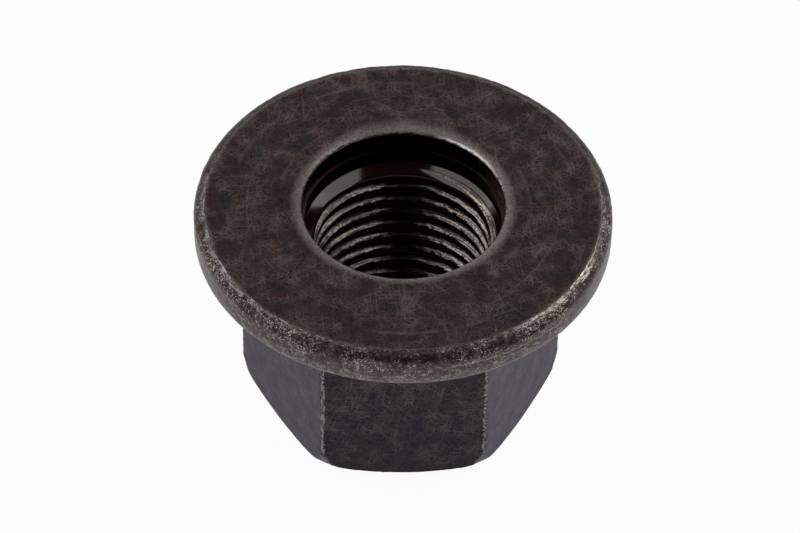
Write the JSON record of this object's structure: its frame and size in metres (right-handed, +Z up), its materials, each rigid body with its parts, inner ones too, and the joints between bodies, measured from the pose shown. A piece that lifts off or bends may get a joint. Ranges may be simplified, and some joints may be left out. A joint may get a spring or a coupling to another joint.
{
  "type": "flanged wheel nut",
  "caption": "Black-oxidised steel wheel nut: a hexagon for the wrench under a broad round flange with a flat seat, and a threaded bore that opens in a recess in the seat.",
  "frame": {"origin": "middle of the flat foot ring at the hexagon's free end, on the surface that the nut stands on", "axes": "+Z up the thread's axis from the foot to the flange's seat, one wrench flat facing -Y, two of the hexagon's edges on the X axis"},
  "size_m": [0.0352, 0.0352, 0.021],
  "materials": {
    "black_oxide": "black oxide over forged and turned steel, hair-scratched, worn bright along the edges"
  },
  "bodies": {
    "root": {"wheel_nut": "black_oxide"}
  },
  "joints": []
}
